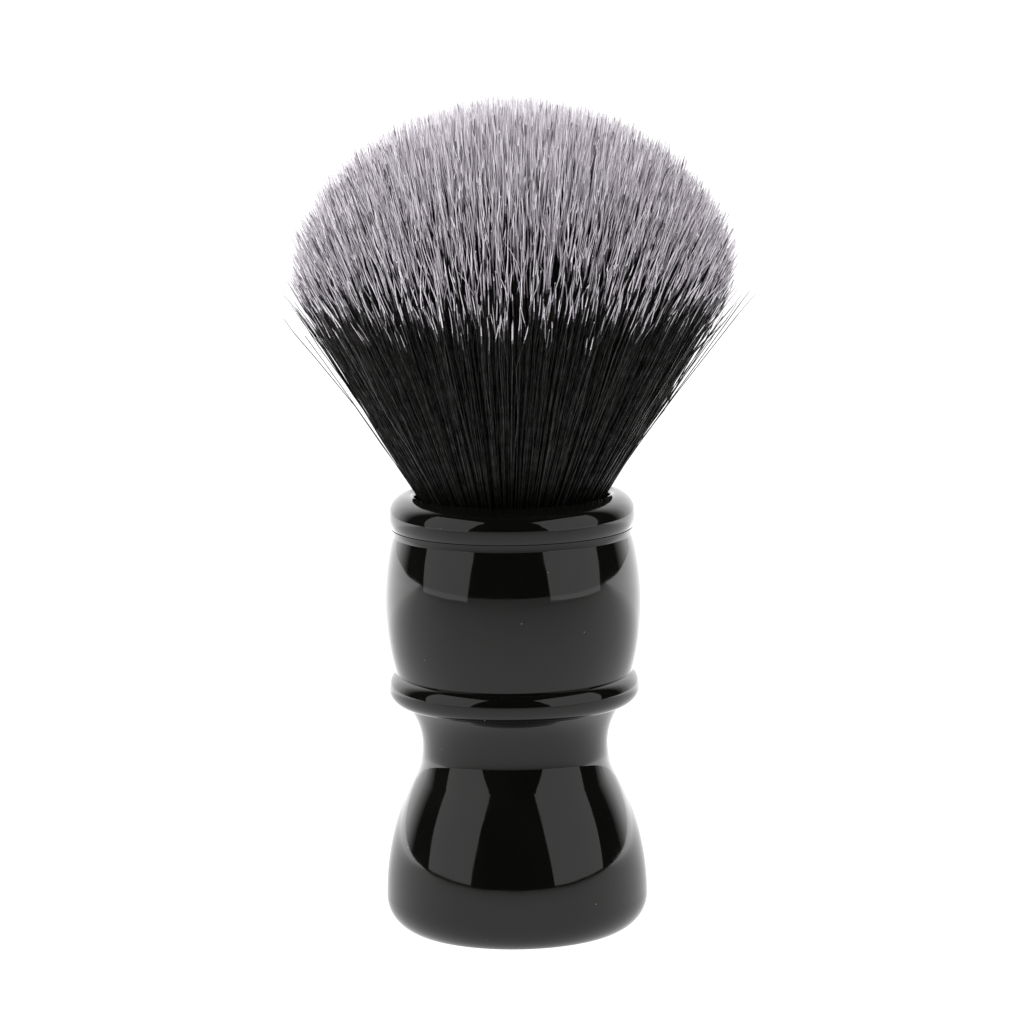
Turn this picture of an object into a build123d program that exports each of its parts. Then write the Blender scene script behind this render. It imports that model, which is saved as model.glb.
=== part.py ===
from build123d import *
import os
from math import atan2, cos, degrees, radians, sin, sqrt

# Shaving brush, millimetres. +Z up, origin at the centre of the flat foot.
# A turned resin handle with a blind socket, a knot potted in a thin cup and glued into the
# socket, and a fan of bristles split into tufts that splay outwards about their roots.

# Handle: foot and belly
FOOT_RADIUS = 15.0
BELLY_RADIUS = 17.3
BELLY_Z = 3.8
# Handle: hollow neck, which runs tangent into the belly
NECK_RADIUS = 12.3
NECK_HOLLOW_RADIUS = 8.6
# Handle: raised ring below the barrel
RING_Z = 32.0
RING_CENTRE_RADIUS = 14.45
RING_BEAD_RADIUS = 2.2
# Handle: barrel
BARREL_FOOT_RADIUS = 15.6
BARREL_RADIUS = 17.05
BARREL_Z = 43.4
# Handle: shallow cove above the barrel, closed by a fine groove
COVE_FOOT_RADIUS = 15.86
COVE_FOOT_Z = 52.2
COVE_WAIST_RADIUS = 15.84
COVE_TOP_RADIUS = 15.92
COVE_TOP_Z = 53.12
GROOVE_RADIUS = 15.78
# Handle: rounded lip around the mouth
LIP_Z = 54.75
LIP_CENTRE_RADIUS = 13.5
LIP_BEAD_RADIUS = 2.85
MOUTH_Z = 56.85
# Socket and the layers that fill it
SOCKET_RADIUS = 12.7
SOCKET_FLOOR_Z = 39.5
GLUE_THICKNESS = 0.2
GLUE_FLOOR_THICKNESS = 0.5
CUP_WALL = 0.5
CUP_FLOOR = 0.8
CUP_TOP_Z = 52.0
PLUG_TOP_Z = 50.0
BINDING_TURNS = 7
BINDING_THREAD_RADIUS = 0.3
BINDING_BASE_Z = 50.3
BUNDLE_RADIUS = 11.4
BUNDLE_TOP_Z = 56.3
# Fan of bristles: outside shape
ROOT_RADIUS = 12.25
ROOT_Z = 56.6
FLARE_RADIUS = 12.55
FLARE_Z = 57.5
SHOULDER_RADIUS = 26.2
SHOULDER_Z = 79.4
CROWN_RADIUS = 28.1
CROWN_Z = 85.6
TOP_Z = 108.0
# Fan of bristles: how it divides into tufts
GAP = 0.3
CORE_ROOT_RADIUS = 4.4
CORE_TIP_RADIUS = 9.4
INNER_ROOT_RADIUS = 8.4
INNER_TIP_RADIUS = 19.0
ROOT_RELIEF = 2.8
INNER_TUFTS = 6
OUTER_TUFTS = 12
SLICE_REACH = 60.0


def at(radius, height):
    """A point of a half section, which lies in the XZ plane."""
    return Vector(radius, 0, height)


def on_circle(centre_radius, centre_z, circle_radius, angle):
    """The point of a circle of the half section at an angle in degrees above the horizontal."""
    turn = radians(angle)
    return at(centre_radius + circle_radius * cos(turn), centre_z + circle_radius * sin(turn))


def arc(centre_radius, centre_z, circle_radius, start, end):
    """An arc of the half section about a centre, from one angle in degrees to another."""
    angles = (start, (start + end) / 2, end)
    points = [on_circle(centre_radius, centre_z, circle_radius, angle) for angle in angles]
    return ThreePointArc(*points)


def turned(edges):
    """A body of revolution about Z from the closed half section that the edges make."""
    return revolve(make_face(Wire(edges)), Axis.Z)


def ring(inner_radius, outer_radius, bottom_z, top_z):
    """A straight tube, or a disc where the inner radius is 0."""
    outline = [at(inner_radius, bottom_z), at(outer_radius, bottom_z)]
    outline += [at(outer_radius, top_z), at(inner_radius, top_z)]
    return turned(Polyline(*outline, close=True).edges())


def cup(inner_radius, outer_radius, bottom_z, floor_z, top_z):
    """A round cup: a tube closed by a floor."""
    outline = [at(0, bottom_z), at(outer_radius, bottom_z), at(outer_radius, top_z)]
    outline += [at(inner_radius, top_z), at(inner_radius, floor_z), at(0, floor_z)]
    return turned(Polyline(*outline, close=True).edges())


def neck_and_belly():
    """The two tangent arcs of the lower body, from the foot's corner up to the ring's underside."""
    ring_bottom_z = RING_Z - RING_BEAD_RADIUS
    neck_centre_radius = NECK_RADIUS + NECK_HOLLOW_RADIUS
    reach = neck_centre_radius - RING_CENTRE_RADIUS
    neck_z = ring_bottom_z - sqrt(NECK_HOLLOW_RADIUS**2 - reach**2)
    # The belly arc is level with its centre at BELLY_Z and touches the neck's arc from outside
    rise = neck_z - BELLY_Z
    offset = neck_centre_radius - BELLY_RADIUS
    gain = 2 * (NECK_HOLLOW_RADIUS - offset)
    belly_arc_radius = (rise**2 + offset**2 - NECK_HOLLOW_RADIUS**2) / gain
    belly_centre_radius = BELLY_RADIUS - belly_arc_radius
    touch = degrees(atan2(rise, neck_centre_radius - belly_centre_radius))
    neck_end = degrees(atan2(ring_bottom_z - neck_z, -reach))
    belly = arc(belly_centre_radius, BELLY_Z, belly_arc_radius, 0, touch)
    neck = arc(neck_centre_radius, neck_z, NECK_HOLLOW_RADIUS, 180 + touch, neck_end)
    return [belly, neck]


def make_handle():
    """The turned resin handle, with the blind socket for the knot."""
    corner_start = at(BELLY_RADIUS, BELLY_Z)
    foot_corner = TangentArc(corner_start, at(FOOT_RADIUS, 0), tangent=(0, 0, -1))
    ring_end = degrees(atan2(
        sqrt(RING_BEAD_RADIUS**2 - (BARREL_FOOT_RADIUS - RING_CENTRE_RADIUS) ** 2),
        BARREL_FOOT_RADIUS - RING_CENTRE_RADIUS,
    ))
    ring_bead = arc(RING_CENTRE_RADIUS, RING_Z, RING_BEAD_RADIUS, -90, ring_end)
    lip_start = -degrees(atan2(
        sqrt(LIP_BEAD_RADIUS**2 - (GROOVE_RADIUS - LIP_CENTRE_RADIUS) ** 2),
        GROOVE_RADIUS - LIP_CENTRE_RADIUS,
    ))
    lip_bead = arc(LIP_CENTRE_RADIUS, LIP_Z, LIP_BEAD_RADIUS, lip_start, 90)
    cove_foot = at(COVE_FOOT_RADIUS, COVE_FOOT_Z)
    cove_waist = at(COVE_WAIST_RADIUS, (COVE_FOOT_Z + COVE_TOP_Z) / 2)
    cove = ThreePointArc(cove_foot, cove_waist, at(COVE_TOP_RADIUS, COVE_TOP_Z))
    groove = Line(cove @ 1, lip_bead @ 0)
    barrel = ThreePointArc(ring_bead @ 1, at(BARREL_RADIUS, BARREL_Z), cove_foot)
    mouth = TangentArc(lip_bead @ 1, at(SOCKET_RADIUS, MOUTH_Z), tangent=(-1, 0, 0))
    bore = Polyline(mouth @ 1, at(SOCKET_RADIUS, SOCKET_FLOOR_Z), at(0, SOCKET_FLOOR_Z), at(0, 0),
                    at(FOOT_RADIUS, 0))
    lower = neck_and_belly()
    upper = [ring_bead, barrel, cove, groove, lip_bead, mouth]
    return turned([foot_corner, *lower, *upper, *bore.edges()])


def make_binding():
    """The thread wound round the bundle: turns lying on each other, sunk into one band."""
    pitch = 2 * BINDING_THREAD_RADIUS
    inside = BUNDLE_RADIUS
    centre = inside + BINDING_THREAD_RADIUS
    turns = []
    for turn in range(BINDING_TURNS):
        middle = BINDING_BASE_Z + (turn + 0.5) * pitch
        turns.append(arc(centre, middle, BINDING_THREAD_RADIUS, -90, 90))
    bottom = turns[0] @ 0
    top = turns[-1] @ 1
    back = Polyline(top, at(inside, top.Z), at(inside, bottom.Z), bottom)
    return turned([*turns, *back.edges()])


def fan_outline():
    """The outside of the whole fan of bristles, from its root to the middle of its crown."""
    root = Line(at(ROOT_RADIUS, ROOT_Z), at(FLARE_RADIUS, FLARE_Z))
    side = Line(at(FLARE_RADIUS, FLARE_Z), at(SHOULDER_RADIUS, SHOULDER_Z))
    shoulder = Spline(
        side @ 1, at(CROWN_RADIUS, CROWN_Z), tangents=[side % 1, Vector(0, 0, 1)]
    )
    crown = EllipticalCenterArc(
        (0, CROWN_Z), CROWN_RADIUS, TOP_Z - CROWN_Z, start_angle=0, arc_size=90
    )
    crown = Plane.XZ * crown
    return [root, side, shoulder, *crown.edges()]


def make_fan():
    """The whole fan of bristles as one body, before it is divided."""
    edges = fan_outline()
    close = Polyline(at(0, TOP_Z), at(0, ROOT_Z), at(ROOT_RADIUS, ROOT_Z))
    return turned([*edges, *close.edges()])


def cone_about_axis(root_radius, tip_radius, growth):
    """A solid cone from below the root to above the top, grown or shrunk by a distance."""
    slope = (tip_radius - root_radius) / (TOP_Z - ROOT_Z)
    low, high = ROOT_Z - 5, TOP_Z + 5
    low_radius = root_radius + slope * (low - ROOT_Z) + growth
    high_radius = root_radius + slope * (high - ROOT_Z) + growth
    outline = [at(0, low), at(low_radius, low), at(high_radius, high), at(0, high)]
    return turned(Polyline(*outline, close=True).edges())


def relief_cone(root_radius):
    """A blunt cone that eases the inner root edge of a tuft, so that it can lift as it splays."""
    top = ROOT_Z + ROOT_RELIEF
    wide = root_radius + GAP / 2 + ROOT_RELIEF
    outline = [at(0, ROOT_Z - 1), at(wide + 1, ROOT_Z - 1), at(wide - ROOT_RELIEF, top), at(0, top)]
    return turned(Polyline(*outline, close=True).edges())


def slice_of(shell, count, index):
    """One of the equal slices of a shell of revolution, with half the gap taken off each side."""
    half = 180 / count
    reach = SLICE_REACH
    spread = reach * sin(radians(half)) / cos(radians(half))
    set_back = GAP / 2 / sin(radians(half))
    corners = [(set_back, 0), (set_back + reach, spread), (set_back + reach, -spread)]
    wedge = extrude(make_face(Polyline(*corners, close=True)), TOP_Z + 10)
    middle = (2 * index + 1) * half
    return shell & (Rot(0, 0, middle) * wedge)


def make_core():
    """The middle of the fan, which stands still, with the bound bundle below it."""
    slope = (CORE_TIP_RADIUS - CORE_ROOT_RADIUS) / (TOP_Z - ROOT_Z)
    root_radius = CORE_ROOT_RADIUS - GAP / 2
    # Where the core's cone meets the ellipse of the crown
    crown_height = TOP_Z - CROWN_Z
    base = root_radius + slope * (CROWN_Z - ROOT_Z)
    square = slope**2 + (CROWN_RADIUS / crown_height) ** 2
    rise = (sqrt((base * slope) ** 2 + square * (CROWN_RADIUS**2 - base**2)) - base * slope) / square
    edge = at(base + slope * rise, CROWN_Z + rise)
    outline = [at(0, TOP_Z), at(0, PLUG_TOP_Z), at(BUNDLE_RADIUS, PLUG_TOP_Z)]
    outline += [at(BUNDLE_RADIUS, BUNDLE_TOP_Z), at(root_radius, BUNDLE_TOP_Z)]
    outline += [at(root_radius, ROOT_Z), edge]
    cap = TangentArc(at(0, TOP_Z), edge, tangent=(1, 0, 0))
    return turned([*Polyline(*outline).edges(), cap])


def make_inner_shell(fan):
    """The ring of bristles between the core and the outer tufts."""
    shell = fan & cone_about_axis(INNER_ROOT_RADIUS, INNER_TIP_RADIUS, -GAP / 2)
    shell -= cone_about_axis(CORE_ROOT_RADIUS, CORE_TIP_RADIUS, GAP / 2)
    return shell - relief_cone(CORE_ROOT_RADIUS)


def make_outer_shell(fan):
    """The outermost ring of bristles."""
    shell = fan - cone_about_axis(INNER_ROOT_RADIUS, INNER_TIP_RADIUS, GAP / 2)
    return shell - relief_cone(INNER_ROOT_RADIUS)


def make_parts():
    """Every sub-part, by node name."""
    glue_inner = SOCKET_RADIUS - GLUE_THICKNESS
    cup_inner = glue_inner - CUP_WALL
    glue_floor_z = SOCKET_FLOOR_Z + GLUE_FLOOR_THICKNESS
    cup_floor_z = glue_floor_z + CUP_FLOOR
    fan = make_fan()
    parts = {
        "handle": make_handle(),
        "socket_adhesive": cup(
            glue_inner, SOCKET_RADIUS, SOCKET_FLOOR_Z, glue_floor_z, CUP_TOP_Z
        ),
        "knot_cup": cup(cup_inner, glue_inner, glue_floor_z, cup_floor_z, CUP_TOP_Z),
        "knot_plug": ring(0, cup_inner, cup_floor_z, PLUG_TOP_Z),
        "knot_binding": make_binding(),
        "bristle_core": make_core(),
    }
    inner_shell = make_inner_shell(fan)
    for index in range(INNER_TUFTS):
        parts[f"inner_tuft_{index + 1}"] = slice_of(inner_shell, INNER_TUFTS, index)
    outer_shell = make_outer_shell(fan)
    for index in range(OUTER_TUFTS):
        parts[f"outer_tuft_{index + 1}"] = slice_of(outer_shell, OUTER_TUFTS, index)
    return parts


def main():
    os.makedirs("parts", exist_ok=True)
    for node, shape in make_parts().items():
        export_step(shape, f"parts/{node}.step")


main()
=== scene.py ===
import math

import bpy
import numpy as np
from mathutils import Matrix, Vector


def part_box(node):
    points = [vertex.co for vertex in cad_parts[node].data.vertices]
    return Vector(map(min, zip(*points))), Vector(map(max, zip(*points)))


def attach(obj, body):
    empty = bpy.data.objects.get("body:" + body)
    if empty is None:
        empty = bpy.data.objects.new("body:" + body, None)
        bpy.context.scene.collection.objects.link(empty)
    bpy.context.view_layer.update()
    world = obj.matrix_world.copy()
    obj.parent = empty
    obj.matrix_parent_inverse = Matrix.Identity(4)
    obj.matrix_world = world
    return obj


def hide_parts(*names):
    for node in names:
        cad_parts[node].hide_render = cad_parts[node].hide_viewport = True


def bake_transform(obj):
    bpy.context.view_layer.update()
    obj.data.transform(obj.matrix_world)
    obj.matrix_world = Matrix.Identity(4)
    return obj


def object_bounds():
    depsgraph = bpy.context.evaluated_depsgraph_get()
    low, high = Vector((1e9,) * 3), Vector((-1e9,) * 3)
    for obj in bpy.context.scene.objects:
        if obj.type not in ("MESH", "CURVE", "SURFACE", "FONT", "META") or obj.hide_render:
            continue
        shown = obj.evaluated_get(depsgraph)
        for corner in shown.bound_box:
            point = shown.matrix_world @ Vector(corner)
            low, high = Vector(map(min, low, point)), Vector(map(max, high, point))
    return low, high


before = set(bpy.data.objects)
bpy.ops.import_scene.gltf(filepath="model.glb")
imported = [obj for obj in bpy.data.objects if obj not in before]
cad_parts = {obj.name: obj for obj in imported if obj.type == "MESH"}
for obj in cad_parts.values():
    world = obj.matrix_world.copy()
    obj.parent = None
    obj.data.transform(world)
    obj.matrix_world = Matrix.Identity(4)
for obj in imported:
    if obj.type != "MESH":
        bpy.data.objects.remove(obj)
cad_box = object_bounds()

MM = 0.001

# ---------------------------------------------------------------- places, from the frame
BASE_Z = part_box("knot_plug")[1].z         # the bristles start on the potting
TOP_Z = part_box("bristle_core")[1].z       # top of the crown
FAN_RADIUS = cad_box[1].x                 # widest radius of the fan
MOUTH_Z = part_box("handle")[1].z - 0.6 * MM   # where the bristles leave the handle
CROWN_Z = TOP_Z - 22.4 * MM               # height of the widest part of the fan
ROOT_RADIUS = 12.15 * MM                  # radius of the bundle at the mouth
BUNDLE_RADIUS = 11.2 * MM                 # radius of the bundle on the potting

OUTER_TUFTS = sum(name.startswith("outer_tuft_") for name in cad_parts)
INNER_TUFTS = sum(name.startswith("inner_tuft_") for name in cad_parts)
CORE_SHARE = 0.355                        # the core's radius, as a share of the whole root
INNER_SHARE = 0.677                       # the inner tufts' outer radius, likewise

# ---------------------------------------------------------------- the hair's measures
# A strand's share is its distance from the middle of the root, from 0 in the middle to 1 outside.
STRANDS = 10300
SIDES = 3                                 # faces round a strand
ROOT_PACKING = 0.6                        # 0.5 spreads the strands evenly, and more packs the middle
ROOT_SPREAD, TURN_SPREAD = 0.006, 0.02    # of a root's share, and of its azimuth in radians
OUTSIDE_FROM, OUTSIDE_WIDTH = 0.78, 0.22  # shares over which a strand comes to count as outside
OUTER_ANGLE = math.radians(29.5)          # lean of the outermost bristles at the mouth
LEAN_POWER = 1.05                         # the lean grows with this power of the share
EDGE_SHARE = 0.93                         # beyond it strands may be whiskers or strays
WHISKER_PORTION = 0.3                     # whiskers lean out further and end lower
WHISKER_LEAN = math.radians(2.2)
WHISKER_SHORTER = 5.0 * MM
STRAY_PORTION = 0.009                     # strays stand well away from the rest
STRAY_LEAN = (math.radians(1), math.radians(6))
CROWN_EXTRA = 1.1 * MM                    # how far the hair stands above the plain dome
CROWN_RIM, CROWN_FADE = 0.9, 0.1          # shares over which that ends
# Length of the pale part in mm, by share
WHITE_LENGTHS = [(0.0, 10.0), (0.4, 7.2), (0.75, 5.3), (0.9, 4.9), (0.95, 3.8), (1.0, 2.4)]
LATE_PORTION = 0.24                       # of the outermost strands, with only a short pale end
LATE_LENGTH = (0.5, 2.6)                  # mm
WHITE_LIMITS = (0.5, 12)                  # mm
WHITE_BANDS = 0.6                         # mm by which the edge of the dye goes up and down in bands
DYE_EDGE = 0.35 * MM                      # the dye fades from here below its edge to half as far above
SHORT_PORTION, SHORT_FEWER = 0.3, 0.2     # short strands, and how many fewer there are outside
SHORT_BY = 1.8                            # mm, on average
LEAST_TIP = 0.4                           # mm from the edge of the dye to the tip, at the least
WAVELENGTHS = (9, 20)                     # mm, of the waves along a strand
COARSE_CLUMP = (0.034, 0.52)              # spacing, as a share, and strength
FINE_CLUMP = (0.0155, 0.32)
CLUMP_WANDER = 0.3                        # unevenness of the clumps' places, by their spacing
HOOKED_SHARE, HOOKED_PORTION = 0.85, 0.12   # hooked tips: from which share outwards, and how many
WIDTH_SPREAD, WIDTH_LIMITS = 0.12, (0.7, 1.4)   # of a strand's width, by the usual one
# Standard deviations in mm of the random differences between strands
WHITE_SPREAD, TIP_SPREAD = 0.6, 0.4       # of the pale part's length, and of the whole length
SIDE_SPREAD, OUT_SPREAD = 0.65, 0.35      # of the tip's place to the side, and outwards
HOOK_SPREAD, WAVE_SPREAD = 1.3, 0.25      # of the turn of a hooked tip, and of the waves' height

BOW, FLARE = 0.35 * MM, 0.6 * MM          # outside strands bulge, and turn out at the tip
LOPSIDED = 0.6 * MM                       # the whole fan's shift to one side
# Radius at each node from the potting to the tip
RADII = np.array([0.07, 0.07, 0.072, 0.072, 0.07, 0.068, 0.068, 0.068, 0.066, 0.055, 0.0]) * MM
EDGE_RING = 6                             # the ring where the dark dye ends
SPLIT_SPREAD = 0.02                       # raggedness, in share, of the limits between core and tufts
INNER_BLUR, OUTER_BLUR = math.radians(10), math.radians(6)   # and of those between neighbours
# For each kind of tuft: two distances from the middle of the mouth, and the dip in degrees of the
# line outwards that they are measured along
INNER_BEND, OUTER_BEND = (8.0 * MM, 17.9 * MM, 10.0), (8.7 * MM, 19.7 * MM, 15.0)
random = np.random.default_rng(26)


# ---------------------------------------------------------------- material helpers
def new_material(name):
    """A material with an empty node tree but for its Principled shader and output."""
    material = bpy.data.materials.new(name)
    material.use_nodes = True
    return material, material.node_tree, material.node_tree.nodes["Principled BSDF"]


def add(tree, kind, **values):
    """A new node with its inputs and properties set by name."""
    node = tree.nodes.new(kind)
    for key, value in values.items():
        if key in node.inputs:
            node.inputs[key].default_value = value
        else:
            setattr(node, key, value)
    return node


def noise(tree, scale, detail=3.0, roughness=0.55):
    """A noise texture in metres on the object."""
    where = add(tree, "ShaderNodeTexCoord")
    texture = add(tree, "ShaderNodeTexNoise", Scale=scale, Detail=detail, Roughness=roughness)
    tree.links.new(where.outputs["Object"], texture.inputs["Vector"])
    return texture


def ramp(tree, source, stops):
    """A colour ramp of (position, colour) stops on a socket."""
    node = tree.nodes.new("ShaderNodeValToRGB")
    elements = node.color_ramp.elements
    while len(elements) > len(stops):
        elements.remove(elements[-1])
    while len(elements) < len(stops):
        elements.new(1.0)
    for element, (position, colour) in zip(elements, stops):
        element.position = position
        element.color = colour
    tree.links.new(source, node.inputs["Fac"])
    return node


def grey(value):
    """A grey as a colour, or a plain value on a ramp."""
    return (value, value, value, 1.0)


def resin_material():
    """Polished black resin: faint smoky colour, polishing haze and a few specks of dust."""
    material, tree, shader = new_material("polished_black_resin")
    shader.inputs["IOR"].default_value = 1.42
    smoke = noise(tree, 90.0)
    colour = ramp(tree, smoke.outputs["Fac"], [
        (0.3, (0.0015, 0.0015, 0.0013, 1)), (0.75, (0.0027, 0.0026, 0.0021, 1))])
    # Dust: the middles of a sparse cell pattern, where they come near the surface
    where = add(tree, "ShaderNodeTexCoord")
    cells = add(tree, "ShaderNodeTexVoronoi", Scale=330.0)
    tree.links.new(where.outputs["Object"], cells.inputs["Vector"])
    dust = ramp(tree, cells.outputs["Distance"], [(0.018, grey(1)), (0.026, grey(0))])
    mix = add(tree, "ShaderNodeMix", data_type="RGBA")
    tree.links.new(dust.outputs["Color"], mix.inputs[0])
    tree.links.new(colour.outputs["Color"], mix.inputs[6])
    mix.inputs[7].default_value = (0.2, 0.2, 0.17, 1)
    tree.links.new(mix.outputs[2], shader.inputs["Base Color"])
    haze = noise(tree, 260.0, 5.0)
    rough = ramp(tree, haze.outputs["Fac"], [(0.35, grey(0.03)), (0.8, grey(0.085))])
    tree.links.new(rough.outputs["Color"], shader.inputs["Roughness"])
    wave = noise(tree, 110.0, 2.0)
    bump = add(tree, "ShaderNodeBump", Strength=0.06, Distance=0.0004)
    tree.links.new(wave.outputs["Fac"], bump.inputs["Height"])
    tree.links.new(bump.outputs["Normal"], shader.inputs["Normal"])
    return material


def mottled_material(name, low, high, scale, roughness, grain):
    """A plain hidden substance: two tones in soft blotches, and a fine uneven surface."""
    material, tree, shader = new_material(name)
    blotches = noise(tree, scale, 4.0)
    colour = ramp(tree, blotches.outputs["Fac"], [(0.3, (*low, 1)), (0.7, (*high, 1))])
    tree.links.new(colour.outputs["Color"], shader.inputs["Base Color"])
    uneven = noise(tree, scale * 3, 3.0)
    rough = ramp(tree, uneven.outputs["Fac"], [
        (0.3, grey(roughness * 0.8)), (0.7, grey(roughness * 1.2))])
    tree.links.new(rough.outputs["Color"], shader.inputs["Roughness"])
    bump = add(tree, "ShaderNodeBump", Strength=grain, Distance=0.0002)
    tree.links.new(uneven.outputs["Fac"], bump.inputs["Height"])
    tree.links.new(bump.outputs["Normal"], shader.inputs["Normal"])
    return material


def thread_material():
    """Waxed thread: the twist of its plies shows as fine slanting stripes."""
    material, tree, shader = new_material("waxed_thread")
    where = add(tree, "ShaderNodeTexCoord")
    twist = add(tree, "ShaderNodeTexWave", Scale=420.0, Distortion=1.5, Detail=2.0,
                bands_direction="DIAGONAL")
    tree.links.new(where.outputs["Object"], twist.inputs["Vector"])
    colour = ramp(tree, twist.outputs["Fac"], [
        (0.1, (0.34, 0.30, 0.23, 1)), (0.6, (0.60, 0.55, 0.45, 1))])
    tree.links.new(colour.outputs["Color"], shader.inputs["Base Color"])
    wax = noise(tree, 700.0)
    rough = ramp(tree, wax.outputs["Fac"], [(0.3, grey(0.45)), (0.7, grey(0.7))])
    tree.links.new(rough.outputs["Color"], shader.inputs["Roughness"])
    bump = add(tree, "ShaderNodeBump", Strength=0.5, Distance=0.0001)
    tree.links.new(twist.outputs["Fac"], bump.inputs["Height"])
    tree.links.new(bump.outputs["Normal"], shader.inputs["Normal"])
    return material


def bristle_material(name, colour, roughness, specular):
    """One shade of filament, whose gloss comes and goes along its length."""
    material, tree, shader = new_material(name)
    shader.inputs["Base Color"].default_value = (*colour, 1.0)
    shader.inputs["Roughness"].default_value = roughness
    glint = noise(tree, 900.0, 2.0)
    gloss = ramp(tree, glint.outputs["Fac"], [(0.35, grey(specular * 0.3)), (0.7, grey(specular * 1.6))])
    tree.links.new(gloss.outputs["Color"], shader.inputs["Specular IOR Level"])
    return material


# ---------------------------------------------------------------- bristles
# The colours of the filament, and how often strands take each dark and each light one
DARK_SHADES = [(0.0034, 0.0034, 0.0030), (0.0062, 0.0062, 0.0052), (0.0115, 0.0112, 0.0095)]
MIDDLE_SHADES = [(0.12, 0.112, 0.12)]
LIGHT_SHADES = [(0.34, 0.315, 0.35), (0.50, 0.465, 0.51), (0.64, 0.60, 0.65), (0.78, 0.75, 0.79)]
DARK_MIX, LIGHT_MIX = [0.5, 0.35, 0.15], [0.2, 0.35, 0.3, 0.15]


def bristle_materials():
    """A material for each shade: the dark ones, then the middle one, then the light ones."""
    shades = [bristle_material(f"bristle_dark_{i + 1}", c, 0.42, 0.3)
              for i, c in enumerate(DARK_SHADES)]
    shades += [bristle_material(f"bristle_middle_{i + 1}", c, 0.5, 0.3)
               for i, c in enumerate(MIDDLE_SHADES)]
    shades += [bristle_material(f"bristle_light_{i + 1}", c, 0.55, 0.15)
               for i, c in enumerate(LIGHT_SHADES)]
    return shades


def lay_out_strands():
    """Root share and azimuth of every strand, packed closer towards the middle of the root."""
    golden = math.pi * (3 - math.sqrt(5))
    step = np.arange(STRANDS) + 0.5
    share = (step / STRANDS)**ROOT_PACKING + random.normal(0, ROOT_SPREAD, STRANDS)
    share = np.clip(np.abs(share), 0.002, 1.0)
    azimuth = step * golden + random.normal(0, TURN_SPREAD, STRANDS)
    return share, np.mod(azimuth, 2 * math.pi)


def smooth(value):
    """A smooth step from 0 to 1."""
    value = np.clip(value, 0, 1)
    return value * value * (3 - 2 * value)


def lean_of(share):
    """The angle from the vertical of the straight line from a bristle's root to its tip."""
    return OUTER_ANGLE * share**LEAN_POWER


def length_to_crown(share, lean):
    """How long a straight bristle from the mouth is when its tip lies on the dome."""
    wide, high = FAN_RADIUS, TOP_Z - CROWN_Z
    out, up = np.sin(lean) / wide, np.cos(lean) / high
    start_out, start_up = ROOT_RADIUS * share / wide, (MOUTH_Z - CROWN_Z) / high
    square = out**2 + up**2
    half = out * start_out + up * start_up
    rest = start_out**2 + start_up**2 - 1
    return (-half + np.sqrt(half**2 - square * rest)) / square


def clump_pull(share, azimuth, spacing, strength):
    """Sideways and outward moves, in metres at the tip, that draw neighbours into pointed clumps."""
    across = share * np.cos(azimuth), share * np.sin(azimuth)
    rows = np.round(across[1] / spacing)
    columns = np.round(across[0] / spacing + 0.5 * (rows % 2)) - 0.5 * (rows % 2)
    wander = CLUMP_WANDER * spacing
    # Sines of large steps serve as fixed but irregular numbers
    centre_x = columns * spacing + wander * np.sin(columns * 12.9 + rows * 78.2)
    centre_y = rows * spacing + wander * np.sin(columns * 39.3 + rows * 11.1)
    pull_x, pull_y = centre_x - across[0], centre_y - across[1]
    out = pull_x * np.cos(azimuth) + pull_y * np.sin(azimuth)
    side = pull_y * np.cos(azimuth) - pull_x * np.sin(azimuth)
    reach = strength * 2.0 * FAN_RADIUS
    return out * reach, side * reach


def leans_and_whiskers(share):
    """Each strand's lean, and which strands are whiskers."""
    count = len(share)
    whisker = (random.random(count) < WHISKER_PORTION) & (share > EDGE_SHARE)
    lean = lean_of(share) + whisker * np.abs(random.normal(0, WHISKER_LEAN, count))
    stray = (random.random(count) < STRAY_PORTION) & (share > EDGE_SHARE)
    return lean + stray * random.uniform(*STRAY_LEAN, count), whisker


def dye_and_tip(share, azimuth, length, whisker, outside):
    """How far from the mouth each strand's dark dye ends, and its tip lies."""
    count = len(share)
    full = length - whisker * random.random(count) * WHISKER_SHORTER
    full = full + CROWN_EXTRA * (1 - smooth((share - CROWN_RIM) / CROWN_FADE))
    # The edge of the dye is ragged in bands
    bands = 0.5 * np.sin(azimuth * 23 + 1.3) * np.sin(azimuth * 9) + 0.5 * np.sin(azimuth * 41)
    white = np.interp(share, *zip(*WHITE_LENGTHS))
    white = white + random.normal(0, WHITE_SPREAD, count) + WHITE_BANDS * bands
    late = random.random(count) < LATE_PORTION * share
    white = np.where(late, random.uniform(*LATE_LENGTH, count), white)
    white = np.clip(white, *WHITE_LIMITS) * MM
    edge_at = full - white
    # Uneven tips: most within half a millimetre, and some well short
    total = full + random.normal(0, TIP_SPREAD, count) * MM
    short = random.random(count) < SHORT_PORTION - SHORT_FEWER * outside
    total = total - short * random.exponential(SHORT_BY, count) * MM
    return edge_at, np.maximum(total, edge_at + LEAST_TIP * MM)


def stations_of(edge_at, total):
    """Distances of a strand's nodes from the mouth, closer together about the edge of the dye."""
    stations = np.stack([
        np.zeros(len(total)), 0.06 * total, 0.3 * total, 0.5 * total, 0.5 * total + 0.3 * edge_at,
        np.minimum(edge_at - DYE_EDGE, 0.9 * total), edge_at + DYE_EDGE * 0.5,
        edge_at + (total - edge_at) * 0.4, edge_at + (total - edge_at) * 0.75, total], axis=1)
    return np.maximum.accumulate(stations, axis=1)


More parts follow.
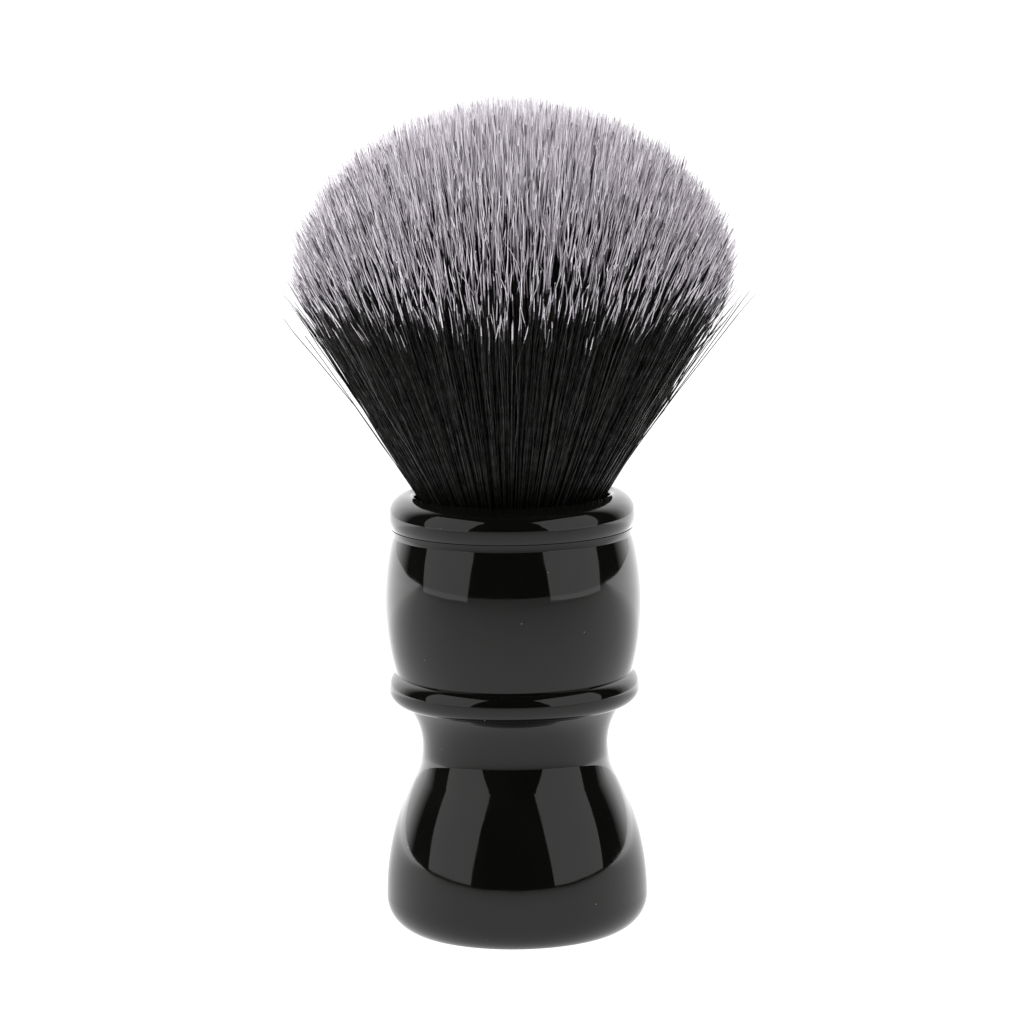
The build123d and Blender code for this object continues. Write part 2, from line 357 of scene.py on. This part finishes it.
def moves_of(share, azimuth, stations, along, whisker, outside):
    """Each node's moves square to its strand: outwards, and to the side."""
    count = len(share)
    clump_out, clump_side = clump_pull(share, azimuth, *COARSE_CLUMP)
    fine_out, fine_side = clump_pull(share, azimuth, *FINE_CLUMP)
    side = random.normal(0, SIDE_SPREAD, count) * MM + clump_side + fine_side
    out = random.normal(0, OUT_SPREAD, count) * MM + (clump_out + fine_out) * (1 - 0.5 * outside)
    hooked = (random.random(count) < HOOKED_PORTION) & (share > HOOKED_SHARE)
    hook = hooked * random.normal(0, HOOK_SPREAD, count) * MM
    # Waves, which grow towards the tip
    wave = random.normal(0, WAVE_SPREAD, (2, count, 1)) * MM
    wavelength = random.uniform(*WAVELENGTHS, (2, count, 1)) * MM
    phase = random.random((2, count, 1)) * 2 * math.pi
    curl = wave * np.sin(2 * math.pi * stations / wavelength + phase) * smooth(along / 0.7)
    bow = BOW * outside * ~whisker
    flare = FLARE * outside
    outwards = (4 * along * (1 - along) * bow[:, None] + curl[0] + out[:, None] * along**2
                + flare[:, None] * along**3)
    return outwards, side[:, None] * along**2 + curl[1] + hook[:, None] * along**8


def strand_nodes(share, azimuth):
    """Points (strand, node, 3) in metres along each strand, from the potting to the tip."""
    outside = smooth((share - OUTSIDE_FROM) / OUTSIDE_WIDTH)
    length = length_to_crown(share, lean_of(share))
    lean, whisker = leans_and_whiskers(share)
    edge_at, total = dye_and_tip(share, azimuth, length, whisker, outside)
    stations = stations_of(edge_at, total)
    along = stations / length[:, None]
    outwards, sideways = moves_of(share, azimuth, stations, along, whisker, outside)
    sin_lean, cos_lean = np.sin(lean)[:, None], np.cos(lean)[:, None]
    radial = ROOT_RADIUS * share[:, None] + stations * sin_lean + outwards * cos_lean
    height = MOUTH_Z + stations * cos_lean - outwards * sin_lean
    cos, sin = np.cos(azimuth)[:, None], np.sin(azimuth)[:, None]
    above = np.stack([radial * cos - sideways * sin, radial * sin + sideways * cos, height], axis=2)
    base_radius = BUNDLE_RADIUS * share
    base = np.stack([base_radius * cos[:, 0], base_radius * sin[:, 0],
                     np.full(len(share), BASE_Z)], axis=1)
    points = np.concatenate([base[:, None], above], axis=1)
    rise = np.clip((points[:, :, 2] - MOUTH_Z) / (CROWN_Z - MOUTH_Z), 0, 1.2)
    points[:, :, 0] += LOPSIDED * rise
    return points


def strand_vertices(points):
    """Rings of vertices round each strand, and its tip: (strand, vertex, 3)."""
    count, nodes = points.shape[:2]
    rings = nodes - 1
    mouth, halfway = 1, 4
    direction = points[:, halfway] - points[:, mouth]
    direction /= np.linalg.norm(direction, axis=1)[:, None]
    turn = random.random(count) * 2 * math.pi
    helper = np.where(np.abs(direction[:, :1]) < 0.9, [[1.0, 0, 0]], [[0, 1.0, 0]])
    first = np.cross(direction, helper)
    first /= np.linalg.norm(first, axis=1)[:, None]
    second = np.cross(direction, first)
    width = random.normal(1.0, WIDTH_SPREAD, count).clip(*WIDTH_LIMITS)
    vertices = np.empty((count, rings * SIDES + 1, 3), np.float32)
    for side in range(SIDES):
        angle = turn + 2 * math.pi * side / SIDES
        offset = np.cos(angle)[:, None] * first + np.sin(angle)[:, None] * second
        for ring in range(rings):
            vertices[:, ring * SIDES + side] = (
                points[:, ring] + offset * (RADII[ring] * width)[:, None])
    vertices[:, -1] = points[:, -1]
    return vertices


def strand_faces(rings):
    """One strand's quads, its triangles (the tip, then the root cap), and which shade each takes:
    0 dark, 1 the fading dye, 2 pale."""
    quads, shade = [], []
    for ring in range(rings - 1):
        for side in range(SIDES):
            after = (side + 1) % SIDES
            quads.append((ring * SIDES + side, ring * SIDES + after,
                          (ring + 1) * SIDES + after, (ring + 1) * SIDES + side))
            shade.append(0 if ring < EDGE_RING else (1 if ring == EDGE_RING else 2))
    last = (rings - 1) * SIDES
    triangles = [(last + side, last + (side + 1) % SIDES, rings * SIDES) for side in range(SIDES)]
    cap = [tuple(reversed(range(SIDES)))]
    return np.array(quads), np.array(triangles + cap), np.array(shade + [2] * SIDES + [0])


def build_piece(name, points, dark, light, materials):
    """One mesh of closed, tapered strands. Each strand's last node is its pointed tip."""
    count = len(points)
    vertices = strand_vertices(points)
    quads, triangles, shade = strand_faces(points.shape[1] - 1)
    per_strand = vertices.shape[1]
    start = (np.arange(count) * per_strand)[:, None]
    loops = np.concatenate([
        (start[:, :, None] + quads[None]).reshape(count, -1),
        (start[:, :, None] + triangles[None]).reshape(count, -1)], axis=1).ravel()
    sizes = np.tile(np.concatenate([np.full(len(quads), 4), np.full(len(triangles), 3)]), count)
    starts = np.concatenate([[0], np.cumsum(sizes)[:-1]])
    light_index = light[:, None] + len(DARK_SHADES) + len(MIDDLE_SHADES)
    index = np.where(shade[None] == 0, dark[:, None],
                     np.where(shade[None] == 1, len(DARK_SHADES), light_index)).ravel()
    mesh = bpy.data.meshes.new(name)
    mesh.vertices.add(count * per_strand)
    mesh.vertices.foreach_set("co", vertices.ravel())
    mesh.loops.add(len(loops))
    mesh.loops.foreach_set("vertex_index", loops.astype(np.int32))
    mesh.polygons.add(len(sizes))
    mesh.polygons.foreach_set("loop_start", starts.astype(np.int32))
    for material in materials:
        mesh.materials.append(material)
    mesh.polygons.foreach_set("material_index", index.astype(np.int32))
    mesh.update(calc_edges=True)
    mesh.validate()
    mesh.shade_smooth()
    piece = bpy.data.objects.new(name, mesh)
    bpy.context.scene.collection.objects.link(piece)
    return piece


def sector(azimuth, count, blur):
    """Which of the equal sectors each strand belongs to, with a feathered edge between them."""
    width = 2 * math.pi / count
    feathered = azimuth + random.normal(0, blur, len(azimuth))
    return np.floor(np.mod(feathered, 2 * math.pi) / width).astype(int) % count


def make_bristles():
    """All the strands, shared out among the still core, the inner tufts and the outer tufts."""
    share, azimuth = lay_out_strands()
    points = strand_nodes(share, azimuth)
    dark = random.choice(len(DARK_SHADES), STRANDS, p=DARK_MIX)
    light = random.choice(len(LIGHT_SHADES), STRANDS, p=LIGHT_MIX)
    materials = bristle_materials()
    ragged = share + random.normal(0, SPLIT_SPREAD, STRANDS)
    outer = sector(azimuth, OUTER_TUFTS, OUTER_BLUR)
    inner = sector(azimuth, INNER_TUFTS, INNER_BLUR)
    in_core = ragged < CORE_SHARE
    in_outer = ragged > INNER_SHARE
    in_inner = ~in_core & ~in_outer

    def piece_of(name, chosen, node):
        piece = build_piece(name, points[chosen], dark[chosen], light[chosen], materials)
        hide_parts(node)
        return piece

    core = piece_of("core_hair", in_core, "bristle_core")
    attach(core, "grip")
    for index in range(INNER_TUFTS):
        node = f"inner_tuft_{index + 1}"
        piece = piece_of(f"inner_hair_{index + 1}", in_inner & (inner == index), node)
        splay(piece, node, (index + 0.5) * 2 * math.pi / INNER_TUFTS, *INNER_BEND)
    for index in range(OUTER_TUFTS):
        node = f"outer_tuft_{index + 1}"
        piece = piece_of(f"outer_hair_{index + 1}", in_outer & (outer == index), node)
        splay(piece, node, (index + 0.5) * 2 * math.pi / OUTER_TUFTS, *OUTER_BEND)


def splay(piece, body, middle, near, far, dip):
    """Bakes the piece's place into its mesh; the hair is not bent. Its body, middle, near, far and
    dip are not used."""
    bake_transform(piece)


# ---------------------------------------------------------------- handle and hidden pieces
def dress(node, material):
    """Puts a material on a CAD piece."""
    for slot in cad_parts[node].material_slots:
        slot.material = material


def dress_cad_pieces():
    """Materials for the CAD pieces that are shown: the handle, and what its socket hides."""
    dress("handle", resin_material())
    dress("knot_binding", thread_material())
    dress("knot_cup", mottled_material(
        "moulded_cup", (0.045, 0.045, 0.05), (0.075, 0.075, 0.08), 500.0, 0.45, 0.3))
    dress("knot_plug", mottled_material(
        "potting", (0.36, 0.27, 0.15), (0.50, 0.40, 0.25), 260.0, 0.2, 0.1))
    dress("socket_adhesive", mottled_material(
        "cured_glue", (0.60, 0.55, 0.42), (0.78, 0.74, 0.60), 400.0, 0.3, 0.2))


# ---------------------------------------------------------------- studio
FLOOR_REACH = 40.0                        # metres to each side
FLOOR_SEEN = 1.1                          # the floor's brightness to the eye, a plain white
# The floor's light on other things, by distance behind (+) or in front of (-) the brush, in metres
FLOOR_STOPS = [(-0.6, 0.45), (-0.25, 0.68), (-0.12, 0.85), (-0.06, 0.98), (0.03, 1.1),
               (0.07, 1.35), (0.11, 1.8), (0.16, 2.6), (0.3, 2.8)]
# Light that polished surfaces mirror from around, by bearing from the camera's side in degrees
WORLD_STOPS = [(0, 0.01), (110, 0.02), (114, 0.4), (121, 1.1), (132, 2.1), (150, 2.4), (180, 1.5)]
# Light that matt surfaces take from around, by bearing: it comes mostly from behind
FILL_STOPS = [(0, 0.05), (60, 0.3), (90, 1.8), (120, 3.0), (150, 2.0), (180, 1.3)]
CEILING_START, CEILING_END = 50.0, 75.0   # elevations between which the back wall fades into it
CEILING_LEVEL = 0.5
# Soft lights: name, bearing from the camera's side in degrees, distance, width, height and height of
# the lower edge in metres, lean in degrees, radiance, and whether the handle mirrors it
SOFT_LIGHTS = [
    ("softbox_left", -63.0, 0.7, 0.58, 0.62, 0.02, 25.0, 1.35, True),
    ("softbox_right", 57.7, 0.7, 0.65, 0.62, 0.02, 25.0, 1.35, True),
    ("key", -20.0, 1.1, 1.0, 0.8, 0.1, 20.0, 2.15, False),
    ("side_light_left", -95.0, 1.0, 0.8, 0.9, 0.05, 15.0, 4.0, False),
    ("side_light_right", 95.0, 1.0, 0.8, 0.9, 0.05, 15.0, 2.0, False),
]
CAMERA_PLACE = (0, -0.5018, 0.1355)
CAMERA_LENS = 136.4                       # mm, on a 36 mm sensor
CAMERA_DOWN, CAMERA_ROLL = math.radians(9.12), math.radians(-0.8)


def stops_along(tree, source, stops):
    """Brightness by stops of (value, brightness) along a socket, constant beyond the end stops."""
    low, high = stops[0][0], stops[-1][0]
    span = add(tree, "ShaderNodeMapRange")
    span.inputs["From Min"].default_value = low
    span.inputs["From Max"].default_value = high
    tree.links.new(source, span.inputs["Value"])
    brightest = max(brightness for _, brightness in stops)
    scaled = [((value - low) / (high - low), grey(brightness / brightest)) for value, brightness in stops]
    shade = ramp(tree, span.outputs["Result"], scaled)
    total = add(tree, "ShaderNodeMath", operation="MULTIPLY")
    tree.links.new(shade.outputs["Color"], total.inputs[0])
    total.inputs[1].default_value = brightest
    return total.outputs[0]


def make_floor():
    """A wide white table. The handle mirrors it brightest behind the brush and dimmer in front."""
    mesh = bpy.data.meshes.new("floor")
    corners = [(-1, -1), (1, -1), (1, 1), (-1, 1)]
    mesh.from_pydata([(x * FLOOR_REACH, y * FLOOR_REACH, 0) for x, y in corners], [], [(0, 1, 2, 3)])
    floor = bpy.data.objects.new("floor", mesh)
    bpy.context.scene.collection.objects.link(floor)
    material, tree, shader = new_material("pale_floor")
    shader.inputs["Base Color"].default_value = grey(0.08)
    shader.inputs["Roughness"].default_value = 0.9
    shader.inputs["Specular IOR Level"].default_value = 0.0
    shader.inputs["Emission Color"].default_value = grey(1)
    where = add(tree, "ShaderNodeTexCoord")
    parts = add(tree, "ShaderNodeSeparateXYZ")
    tree.links.new(where.outputs["Object"], parts.inputs["Vector"])
    glow = stops_along(tree, parts.outputs["Y"], FLOOR_STOPS)
    # Seen directly it is even white from every side
    seen = add(tree, "ShaderNodeLightPath")
    level = add(tree, "ShaderNodeMix", data_type="FLOAT")
    tree.links.new(seen.outputs["Is Camera Ray"], level.inputs[0])
    tree.links.new(glow, level.inputs[2])
    level.inputs[3].default_value = FLOOR_SEEN
    tree.links.new(level.outputs[0], shader.inputs["Emission Strength"])
    mesh.materials.append(material)


def make_world():
    """What the handle mirrors is a bright wall behind the brush and a dark studio on the camera's
    side. The light that matt surfaces take is set apart from that, and the eye sees plain white."""
    world = bpy.data.worlds.new("studio")
    bpy.context.scene.world = world
    world.use_nodes = True
    tree = world.node_tree
    tree.nodes.clear()
    link = tree.links.new
    where = add(tree, "ShaderNodeTexCoord")
    parts = add(tree, "ShaderNodeSeparateXYZ")
    link(where.outputs["Generated"], parts.inputs["Vector"])

    def maths(operation, first, second=None):
        node = add(tree, "ShaderNodeMath", operation=operation)
        for socket, value in zip(node.inputs, (first, second)):
            if value is None:
                continue
            if isinstance(value, (int, float)):
                socket.default_value = value
            else:
                link(value, socket)
        return node.outputs[0]

    x, y, z = (parts.outputs[axis] for axis in "XYZ")
    bearing = maths("ABSOLUTE", maths("ARCTAN2", x, maths("MULTIPLY", y, -1.0)))
    degrees = maths("MULTIPLY", bearing, 180 / math.pi)
    wall = stops_along(tree, degrees, WORLD_STOPS)
    height = add(tree, "ShaderNodeMapRange", interpolation_type="SMOOTHSTEP")
    height.inputs["From Min"].default_value = math.sin(math.radians(CEILING_START))
    height.inputs["From Max"].default_value = math.sin(math.radians(CEILING_END))
    link(z, height.inputs["Value"])
    fade = maths("SUBTRACT", 1.0, maths("MULTIPLY", height.outputs["Result"], 1 - CEILING_LEVEL))
    seen = add(tree, "ShaderNodeLightPath")
    camera = seen.outputs["Is Camera Ray"]
    mirrored = maths("MULTIPLY", maths("MULTIPLY", wall, fade), seen.outputs["Is Glossy Ray"])
    fill = stops_along(tree, degrees, FILL_STOPS)
    soft = maths("MULTIPLY", maths("SUBTRACT", 1.0, seen.outputs["Is Glossy Ray"]), fill)
    level = maths("ADD", mirrored, soft)
    lit = maths("MULTIPLY", level, maths("SUBTRACT", 1.0, camera))
    strength = maths("ADD", lit, camera)
    back = add(tree, "ShaderNodeBackground")
    out = add(tree, "ShaderNodeOutputWorld")
    link(strength, back.inputs["Strength"])
    link(back.outputs["Background"], out.inputs["Surface"])
    back.inputs["Color"].default_value = (1, 1, 1, 1)


def soft_light(name, azimuth, distance, width, height, bottom, lean, radiance, mirrored):
    """A soft light that faces the brush and leans over it."""
    light = bpy.data.lights.new(name, "AREA")
    light.shape = "RECTANGLE"
    light.size = width
    light.size_y = height
    light.energy = radiance * math.pi * width * height
    lamp = bpy.data.objects.new(name, light)
    lamp.visible_camera = False
    lamp.visible_glossy = mirrored
    bearing = math.radians(azimuth)
    towards = Vector((math.sin(bearing), -math.cos(bearing), 0))
    tilt = math.radians(lean)
    # the light shines along its own -Z
    facing = (-towards * math.cos(tilt) + Vector((0, 0, -math.sin(tilt)))).normalized()
    upward = (Vector((0, 0, 1)) * math.cos(tilt) - towards * math.sin(tilt)).normalized()
    across = upward.cross(-facing).normalized()
    centre = towards * distance + Vector((0, 0, bottom)) + upward * height / 2
    matrix = Matrix((across, upward, -facing)).transposed().to_4x4()
    matrix.translation = centre
    lamp.matrix_world = matrix
    bpy.context.scene.collection.objects.link(lamp)


def make_camera():
    """A long lens, a little above the brush and tilted down to it."""
    data = bpy.data.cameras.new("camera")
    data.sensor_width = 36.0
    data.lens = CAMERA_LENS
    camera = bpy.data.objects.new("camera", data)
    turn = Matrix.Rotation(math.pi / 2 - CAMERA_DOWN, 4, "X") @ Matrix.Rotation(CAMERA_ROLL, 4, "Z")
    camera.matrix_world = Matrix.Translation(CAMERA_PLACE) @ turn
    bpy.context.scene.collection.objects.link(camera)
    bpy.context.scene.camera = camera


def main():
    dress_cad_pieces()
    make_bristles()
    make_floor()
    make_world()
    for light in SOFT_LIGHTS:
        soft_light(*light)
    make_camera()
    bpy.context.scene.view_settings.view_transform = "Standard"


main()
